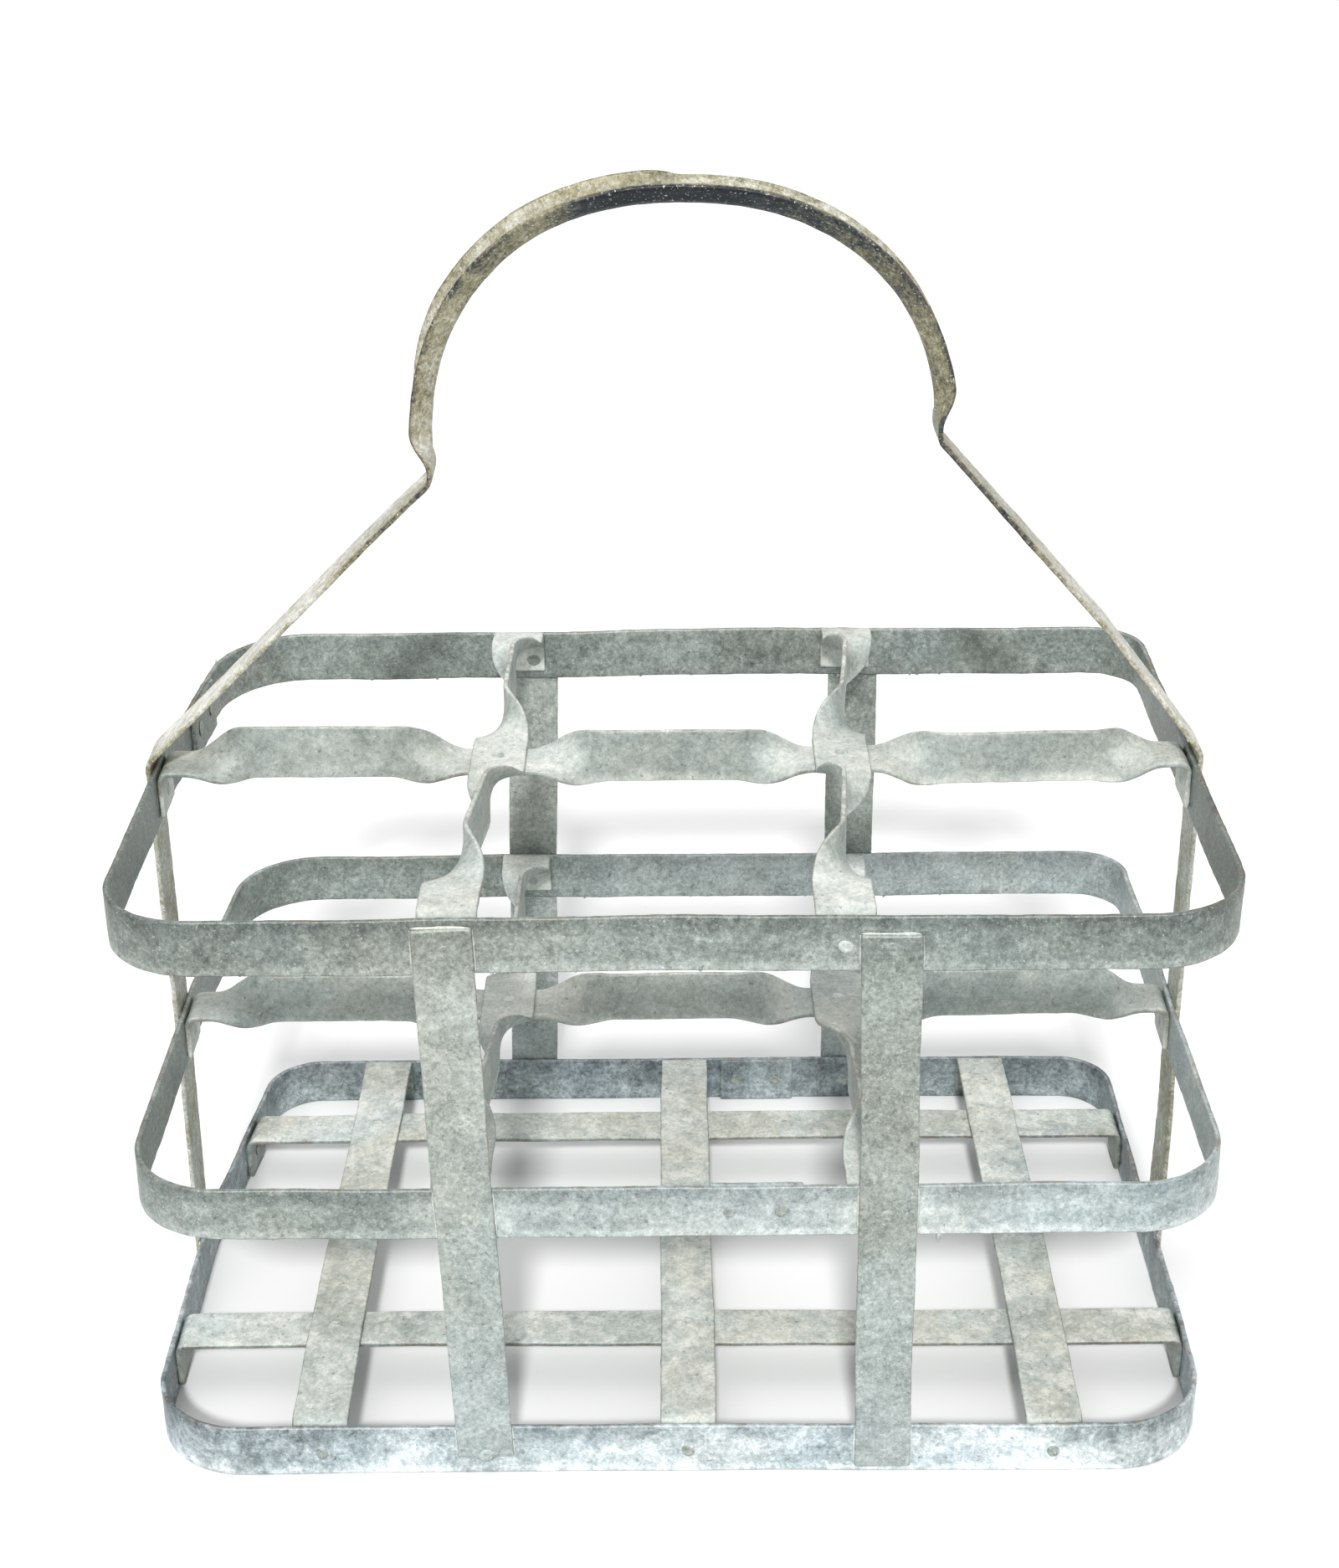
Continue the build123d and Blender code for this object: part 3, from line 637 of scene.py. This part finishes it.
def blob(points, place, radius):
    """1 at a place, fading to 0 around it."""
    return np.exp(-((points - np.array(place)) ** 2).sum(axis=1) / radius**2)


def hoop_tone_and_shade(level, points, across, outside):
    """A hoop's pale lower and dark upper band, a painted shade line along its lower edge, a darker
    top edge, painted shade on its inner face, and its own patches.
    """
    x, y, _ = points.T
    tone = outside * (0.13 * ramped(across, -0.55, -0.8) - 0.15 * ramped(across, 0.2, 0.85))
    # Painted shade in a dark line along the lower edge, and a darker top edge.
    tone -= 0.36 * ramped(across, -0.95, -1.0) + 0.2 * ramped(across, 0.97, 1.0)
    # Painted shade on the inner face.
    tone -= 0.05 * (1 - outside)
    if level == "bottom":
        tone += 0.18 * outside * (y < 0) + 0.14 * blob(points, (100, -101, 8), 30)
        tone -= 0.22 * blob(points, (-147, -88, 12), 15) + 0.12 * blob(points, (125, -100, 12), 20)
    elif level == "middle":
        tone += 0.13 * ramped(x, -70, -10) + 0.05 * ramped(x, 20, 80)
        for strap_side in (-66.5, -50, 49, 67):
            tone += 0.18 * blob(points, (strap_side, -101, 91), 7)
    else:
        tone -= (0.1 * ramped(x, 60, 150) + 0.09 * ramped(x, -60, -120)) * (y < 60)
    return tone


def strap_tone(points):
    """Darker at the top, more so on the right, and paler near the floor."""
    x, _, z = points.T
    tone = 0.1 - 0.16 * ramped(z, 160, 178) + 0.04 * ramped(z, 60, 20)
    return tone - 0.06 * (x > 0) * ramped(z, 60, 140)


def divider_painted_highlight(points, up):
    """Painted highlight towards the lower edge, and a little less painted top-lit paleness on the
    flats.
    """
    z = points[:, 2]
    top = HOOPS["top" if z.max() > 120 else "middle"] + STRIP_WIDTH
    # Painted highlight along the lower edge; less painted top-lit paleness on the flats.
    return 0.22 * ramped(top - z, 4.6, 7.8) - 0.09 * up


def handle_tone_and_shade(points, up, across, through):
    """Pale legs and an arch whose front is darker at the crown and mottled to its right, with
    painted shade along the arch's edges.
    """
    x, _, z = points.T
    legs = ramped(z, 255, 235)
    arch = 1 - legs
    front_outside = (across < 0) * (through < 0) * arch
    crown = ramped(z, 322, 340) * ramped(x, -30, -14) * ramped(x, 28, 14)
    shoulder = ramped(z, 300, 325) * ramped(x, 14, 28) * ramped(x, 66, 48)
    left_flank = (1 - ramped(z, 315, 335)) * ramped(x, 40, 0)
    tone = 0.24 * legs * ramped(z, 180, 190) + 0.14 * ramped(z, 185, 175)
    tone += (0.14 * left_flank - 0.42 * crown - 0.16 * shoulder) * front_outside
    # Painted shade along the arch's edges, where they are also worn brown.
    tone -= 0.25 * ramped(np.abs(across), 0.9, 1.0) * arch
    return tone + (0.2 - 0.2 * up) * (across > 0) * (through > 0) * arch


def paleness_with_painted_light(name, points, normals, across, through):
    """How much whiter the zinc is than its base tone, before the material's own mottling, with
    painted light and shade in it.
    """
    up = np.clip(normals[:, 2], 0, 1)
    # Faces turned up are painted paler, partly white rust and partly a painted top-lit highlight;
    # faces turned down get painted shade.
    pale = 0.32 * up ** 1.8 - 0.14 * np.clip(-normals[:, 2], 0, 1) + 0.05 * coolness(name, points)
    if name.endswith("hoop_strip"):
        pale += hoop_tone_and_shade(name.split("_")[0], points, across, through > 0)
    if name.endswith(("bead", "drips")):
        pale += 0.2
    if "strap" in name:
        pale += strap_tone(points)
    if "divider" in name:
        pale += divider_painted_highlight(points, up)
    if name.startswith("handle"):
        pale += handle_tone_and_shade(points, up, across, through)
    return pale


def coolness(name, points):
    """How much bluer than its ramp the zinc is."""
    x, _, z = points.T
    if name.startswith("middle_hoop"):
        return 0.25 + 0.6 * ramped(x, -90, 0)
    if "strap" in name:
        return 0.8 * ramped(z, 120, 20)
    if name.startswith("handle"):
        return 0.75 * ramped(z, 190, 165)
    return np.full(len(points), 0.15)


# Materials
def colour(hex_code):
    """Linear RGBA of an sRGB hex colour."""
    channels = [int(hex_code[k:k + 2], 16) / 255 for k in (0, 2, 4)]
    linear = [((c + 0.055) / 1.055) ** 2.4 if c > 0.04045 else c / 12.92 for c in channels]
    return (*linear, 1.0)


class Nodes:
    """Small helper to build a node tree."""

    def __init__(self, material):
        material.use_nodes = True
        self.tree = material.node_tree
        self.shader = self.tree.nodes["Principled BSDF"]

    def add(self, kind, inputs=(), **settings):
        node = self.tree.nodes.new(kind)
        for key, value in settings.items():
            setattr(node, key, value)
        for socket, value in dict(inputs).items():
            self.set(node, socket, value)
        return node

    def set(self, node, socket, value):
        if isinstance(value, bpy.types.NodeSocket):
            self.tree.links.new(value, node.inputs[socket])
        else:
            node.inputs[socket].default_value = value

    def math(self, operation, first, second=0.0, third=0.0):
        inputs = {0: first, 1: second, 2: third}
        return self.add("ShaderNodeMath", inputs, operation=operation).outputs[0]

    def noise(self, vector, scale, detail=3.0, roughness=0.55, distortion=0.0):
        node = self.add("ShaderNodeTexNoise", {
            "Vector": vector, "Scale": scale, "Detail": detail, "Roughness": roughness,
            "Distortion": distortion})
        return node.outputs["Fac"]

    def remap(self, value, low, high, to_low, to_high):
        return self.add("ShaderNodeMapRange", {
            "Value": value, "From Min": low, "From Max": high, "To Min": to_low,
            "To Max": to_high}).outputs[0]

    def read(self, name):
        return self.add("ShaderNodeAttribute", attribute_name=name).outputs["Fac"]

    def ramp(self, value, stops):
        node = self.add("ShaderNodeValToRGB", {"Fac": value})
        elements = node.color_ramp.elements
        while len(elements) < len(stops):
            elements.new(0.5)
        for element, (position, shade) in zip(elements, stops):
            element.position = position
            element.color = shade
        return node.outputs["Color"]

    def mix(self, factor, first, second, blend="MIX"):
        node = self.add("ShaderNodeMix", {"Factor": factor}, data_type="RGBA", blend_type=blend)
        self.set(node, 6, first)
        self.set(node, 7, second)
        return node.outputs[2]


def zinc(name, stops, base, patch=0.16, cloud=0.2, grain=0.5, fleck=0.35, warm=0.35,
         rough=0.5, rim_share=0.55):
    """Weathered hot-dip galvanising: patches, clouds and fine crystals, with flecks and pits.

    stops colour it from dark to white, and base is its plain tone between them.
    """
    material = bpy.data.materials.new(name)
    n = Nodes(material)
    place = n.add("ShaderNodeTexCoord").outputs["Object"]
    patches = n.noise(place, 34.0, 3.0, 0.55, 0.6)
    clouds = n.noise(place, 190.0, 5.0, 0.62, 0.4)
    grains = n.noise(place, 760.0, 5.0, 0.85)
    # pale brings painted highlights and painted shade into the base colour
    white = n.math("ADD", n.read("pale"), base)
    for value, share in ((patches, patch), (clouds, cloud), (grains, grain)):
        white = n.math("MULTIPLY_ADD", n.math("SUBTRACT", value, 0.5), share * 2, white)
    shade = n.ramp(white, stops)
    shade = n.mix(n.remap(n.noise(place, 21.0, 3.0, 0.6), 0.45, 0.7, 0.0, warm), shade,
                  colour("e9dccb"), "MULTIPLY")
    shade = n.mix(n.remap(n.noise(place, 27.0, 3.0, 0.6), 0.5, 0.72, 0.0, warm), shade,
                  colour("dce8f2"), "MULTIPLY")
    shade = n.mix(n.read("cool"), shade, colour("ebf2fb"), "MULTIPLY")
    rim = n.remap(n.math("ABSOLUTE", n.read("across")), 0.95, 1.0, 0.0, 1.0)
    rim_break = n.remap(n.noise(place, 130.0, 4.0, 0.7), 0.47, 0.6, 0.0, rim_share)
    shade = n.mix(n.math("MULTIPLY", rim, rim_break), shade, colour("84705f"))
    pits = n.remap(n.noise(place, 640.0, 2.0, 0.5), 0.34, 0.26, 0.0, 0.5)
    shade = n.mix(pits, shade, colour("4a4b48"))
    flecks = n.remap(n.noise(place, 1250.0, 2.0, 0.7), 0.62, 0.72, 0.0, fleck)
    shade = n.mix(flecks, shade, colour("f4f4ec"))
    n.set(n.shader, "Base Color", shade)
    n.set(n.shader, "Metallic", n.remap(white, 0.2, 0.9, 0.55, 0.15))
    dullness = n.remap(white, 0.1, 0.95, rough - 0.08, rough + 0.1)
    streaks = n.math("MULTIPLY_ADD", n.math("SUBTRACT", clouds, 0.5), 0.25, dullness)
    n.set(n.shader, "Roughness", streaks)
    height = n.math("MULTIPLY_ADD", grains, 0.5, clouds)
    bump = n.add("ShaderNodeBump", {"Height": height, "Strength": 0.5, "Distance": 0.00025})
    n.set(n.shader, "Normal", bump.outputs[0])
    return material


GREEN_GREY = ((0.0, colour("3a403e")), (0.25, colour("626965")), (0.45, colour("868e88")),
              (0.65, colour("adb4ae")), (0.85, colour("d3d7cf")), (1.0, colour("f1f1e9")))
BLUE_GREY = ((0.0, colour("3b4144")), (0.25, colour("656e71")), (0.45, colour("8b9698")),
             (0.65, colour("b3bec0")), (0.85, colour("dde4e5")), (1.0, colour("f6f8f8")))
OLIVE_GREY = ((0.0, colour("20272c")), (0.2, colour("40464a")), (0.4, colour("807c63")),
              (0.55, colour("9f9a7f")), (0.8, colour("cbcabf")), (1.0, colour("efeee6")))

ZINCS = {
    "hoop_zinc": (GREEN_GREY, {"base": 0.49, "cloud": 0.24}),
    "lower_hoop_zinc": (BLUE_GREY, {"base": 0.5, "grain": 0.56, "cloud": 0.42, "patch": 0.36}),
    "strap_zinc": (GREEN_GREY, {"base": 0.48, "patch": 0.12, "cloud": 0.18}),
    "handle_zinc": (OLIVE_GREY, {"base": 0.46, "patch": 0.3, "cloud": 0.3, "grain": 0.7,
                                 "fleck": 0.7, "warm": 0.25, "rim_share": 0.25}),
    "divider_zinc": (GREEN_GREY, {"base": 0.6, "patch": 0.2, "grain": 0.36, "rough": 0.56}),
    "base_zinc": (GREEN_GREY, {"base": 0.5, "patch": 0.24, "cloud": 0.3, "grain": 0.42,
                               "warm": 0.6}),
    "weld_zinc": (GREEN_GREY, {"base": 0.52, "patch": 0.1, "cloud": 0.2}),
}
MATERIALS = {slot: zinc(slot, stops, **settings) for slot, (stops, settings) in ZINCS.items()}


def make(node, shell, slot, suffix="strip"):
    """The visible piece that stands for a CAD node."""
    make_object(f"{node}_{suffix}", shell, slot, [node])


for level in HOOPS:
    slot = "lower_hoop_zinc" if level == "bottom" else "hoop_zinc"
    make(f"{level}_hoop", hoop_shell(level), slot)
for name in STRAPS:
    make(f"{name}_strap", strap_shell(name), "strap_zinc")
for level, pair in DIVIDERS_X.items():
    make(f"{level}_long_divider", long_divider_shell(level), "divider_zinc")
    for side in pair:
        make(f"{level}_{side}_cross_divider", cross_divider_shell(level, side), "divider_zinc")
for side in BASE_LONGS_Y:
    make(f"base_{side}_long_strip", base_long_shell(side), "base_zinc", "zinc")
for side in BASE_CROSSES_X:
    make(f"base_{side}_cross_strip", base_cross_shell(side), "base_zinc", "zinc")
make("handle", handle_shell(), "handle_zinc")

for node in ("strap_welds", "handle_welds", "divider_tab_welds", "divider_crossing_welds",
             "base_tab_welds", "base_crossing_welds", "hoop_lap_welds"):
    spots = joined([spot_shell(place, axis) for place, axis in nugget_ends(node)])
    make(node, spots, "weld_zinc", "marks")


def joint_beads():
    """Zinc caught in the corners where straps and the handle lie on the hoops."""
    beads = {}
    for name, (sign, bottom, top) in STRAPS.items():
        y = sign * (HALF_DEPTH + BEAD_STAND)
        shells = []
        for z in HOOPS.values():
            low, high = max(z, bottom[1]) + BEAD_INSET, min(z + STRIP_WIDTH, top[1]) - BEAD_INSET
            for side in (-1, 1):
                edge = side * (HALF_STRIP + BEAD_STAND)
                shells.append(bead_shell((strap_x(name, low) + edge, y, low),
                                         (strap_x(name, high) + edge, y, high), STRAP_BEAD))
        for (x, z), sense in ((top, 1), (bottom, -1)):
            place = np.array((x, y + sign * 2 * BEAD_STAND, z + sense * BEAD_STAND))
            reach = ALONG_X * HALF_STRIP
            shells.append(bead_shell(place - reach, place + reach, STRAP_END_BEAD))
        beads[f"{name}_strap_bead"] = joined(shells)
    shells = []
    for sign in (-1, 1):
        x = sign * (HALF_WIDTH + BEAD_STAND)
        for z in HOOPS.values():
            low, high = max(z, HANDLE_BOTTOM_Z) + BEAD_INSET, z + STRIP_WIDTH - BEAD_INSET
            for side in (-1, 1):
                y = side * (HALF_STRIP + BEAD_STAND)
                shells.append(bead_shell((x, y, low), (x, y, high), HANDLE_BEAD))
    beads["handle_bead"] = joined(shells)
    return beads


for name, shell in joint_beads().items():
    make_object(name, shell, "weld_zinc")


def hoop_drips():
    """Frozen drops along the hoops' lower edges."""
    # A long drop under the middle hoop's front, and a lump on the top hoop's left rear edge
    drops = [drop_shell((72, -HALF_DEPTH + 0.6, 81.2), (0.75, 0.6, 1.9)),
             drop_shell((-147.6, 82.0, 179.0), (1.5, 1.3, 1.9)),
             drop_shell((-147.0, 80.0, 176.5), (1.0, 1.1, 1.3))]
    # A row of drops under the right of the top hoop's front, then single ones anywhere
    for x, down in ((68, 0.8), (71, 1.2), (76, 0.7), (81, 1.0), (88, 0.7), (97, 0.9)):
        drops.append(drop_shell((x, -HALF_DEPTH + 0.7, HOOPS["top"] - 0.1), (0.7, 0.55, down)))
    for level in ("top", "middle"):
        for _ in range(16):
            x = random.uniform(-120, 120)
            size = random.uniform(0.35, 0.75)
            sign = random.choice((-1, 1))
            drops.append(drop_shell((x, sign * (HALF_DEPTH - 0.75), HOOPS[level] - 0.05),
                                    (size, 0.5, size * random.uniform(0.6, 1.3))))
    return joined(drops)


make_object("hoop_drips", hoop_drips(), "hoop_zinc")


# Stage
CAMERA_PLACE = Vector((1.13, -675.5, 493.9)) * MM
CAMERA_DOWN, CAMERA_LEFT, CAMERA_ROLL = 25.44, 0.207, -0.574
CAMERA_LENS = 58.04
LIGHT_AIM = Vector((0.0, 0.0, 0.12))
FLOOR_REACH = 30.0


def floor_material():
    material = bpy.data.materials.new("pale_floor")
    n = Nodes(material)
    place = n.add("ShaderNodeTexCoord").outputs["Object"]
    shade = n.mix(n.noise(place, 3.0, 4.0), colour("f8f8f7"), colour("f6f6f5"))
    n.set(n.shader, "Base Color", shade)
    n.set(n.shader, "Roughness", 0.8)
    n.set(n.shader, "Specular IOR Level", 0.1)
    return material


def make_floor():
    mesh = bpy.data.meshes.new("floor")
    signs = ((-1, -1), (1, -1), (1, 1), (-1, 1))
    corners = [(x * FLOOR_REACH, y * FLOOR_REACH, cad_low.z) for x, y in signs]
    mesh.from_pydata(corners, [], [(0, 1, 2, 3)])
    mesh.materials.append(floor_material())
    floor = bpy.data.objects.new("floor", mesh)
    bpy.context.scene.collection.objects.link(floor)


def make_light(name, kind, place, strength, **settings):
    """A light that shines from place towards the crate."""
    data = bpy.data.lights.new(name, kind)
    data.energy = strength
    for key, value in settings.items():
        setattr(data, key, value)
    light = bpy.data.objects.new(name, data)
    light.location = place
    light.rotation_euler = (Vector(place) - LIGHT_AIM).to_track_quat("Z", "Y").to_euler()
    bpy.context.scene.collection.objects.link(light)


def make_world():
    world = bpy.data.worlds.new("studio")
    bpy.context.scene.world = world
    world.use_nodes = True
    background = world.node_tree.nodes["Background"]
    background.inputs["Color"].default_value = (0.98, 0.99, 1.0, 1.0)
    background.inputs["Strength"].default_value = 0.62


def make_camera():
    data = bpy.data.cameras.new("camera")
    data.lens = CAMERA_LENS
    data.sensor_width = 36.0
    camera = bpy.data.objects.new("camera", data)
    place = Matrix.Translation(CAMERA_PLACE)
    for degrees, axis in ((CAMERA_LEFT, "Z"), (90 - CAMERA_DOWN, "X"), (CAMERA_ROLL, "Z")):
        place = place @ Matrix.Rotation(math.radians(degrees), 4, axis)
    camera.matrix_world = place
    bpy.context.scene.collection.objects.link(camera)
    bpy.context.scene.camera = camera


make_floor()
make_light("key", "SUN", (-0.03, -1.3, 1.13), 2.5, angle=math.radians(5))
make_light("overhead", "AREA", (-0.5, 0.3, 1.9), 8.0, shape="RECTANGLE", size=1.8, size_y=1.2)
make_world()
make_camera()
bpy.context.scene.view_settings.view_transform = "Standard"
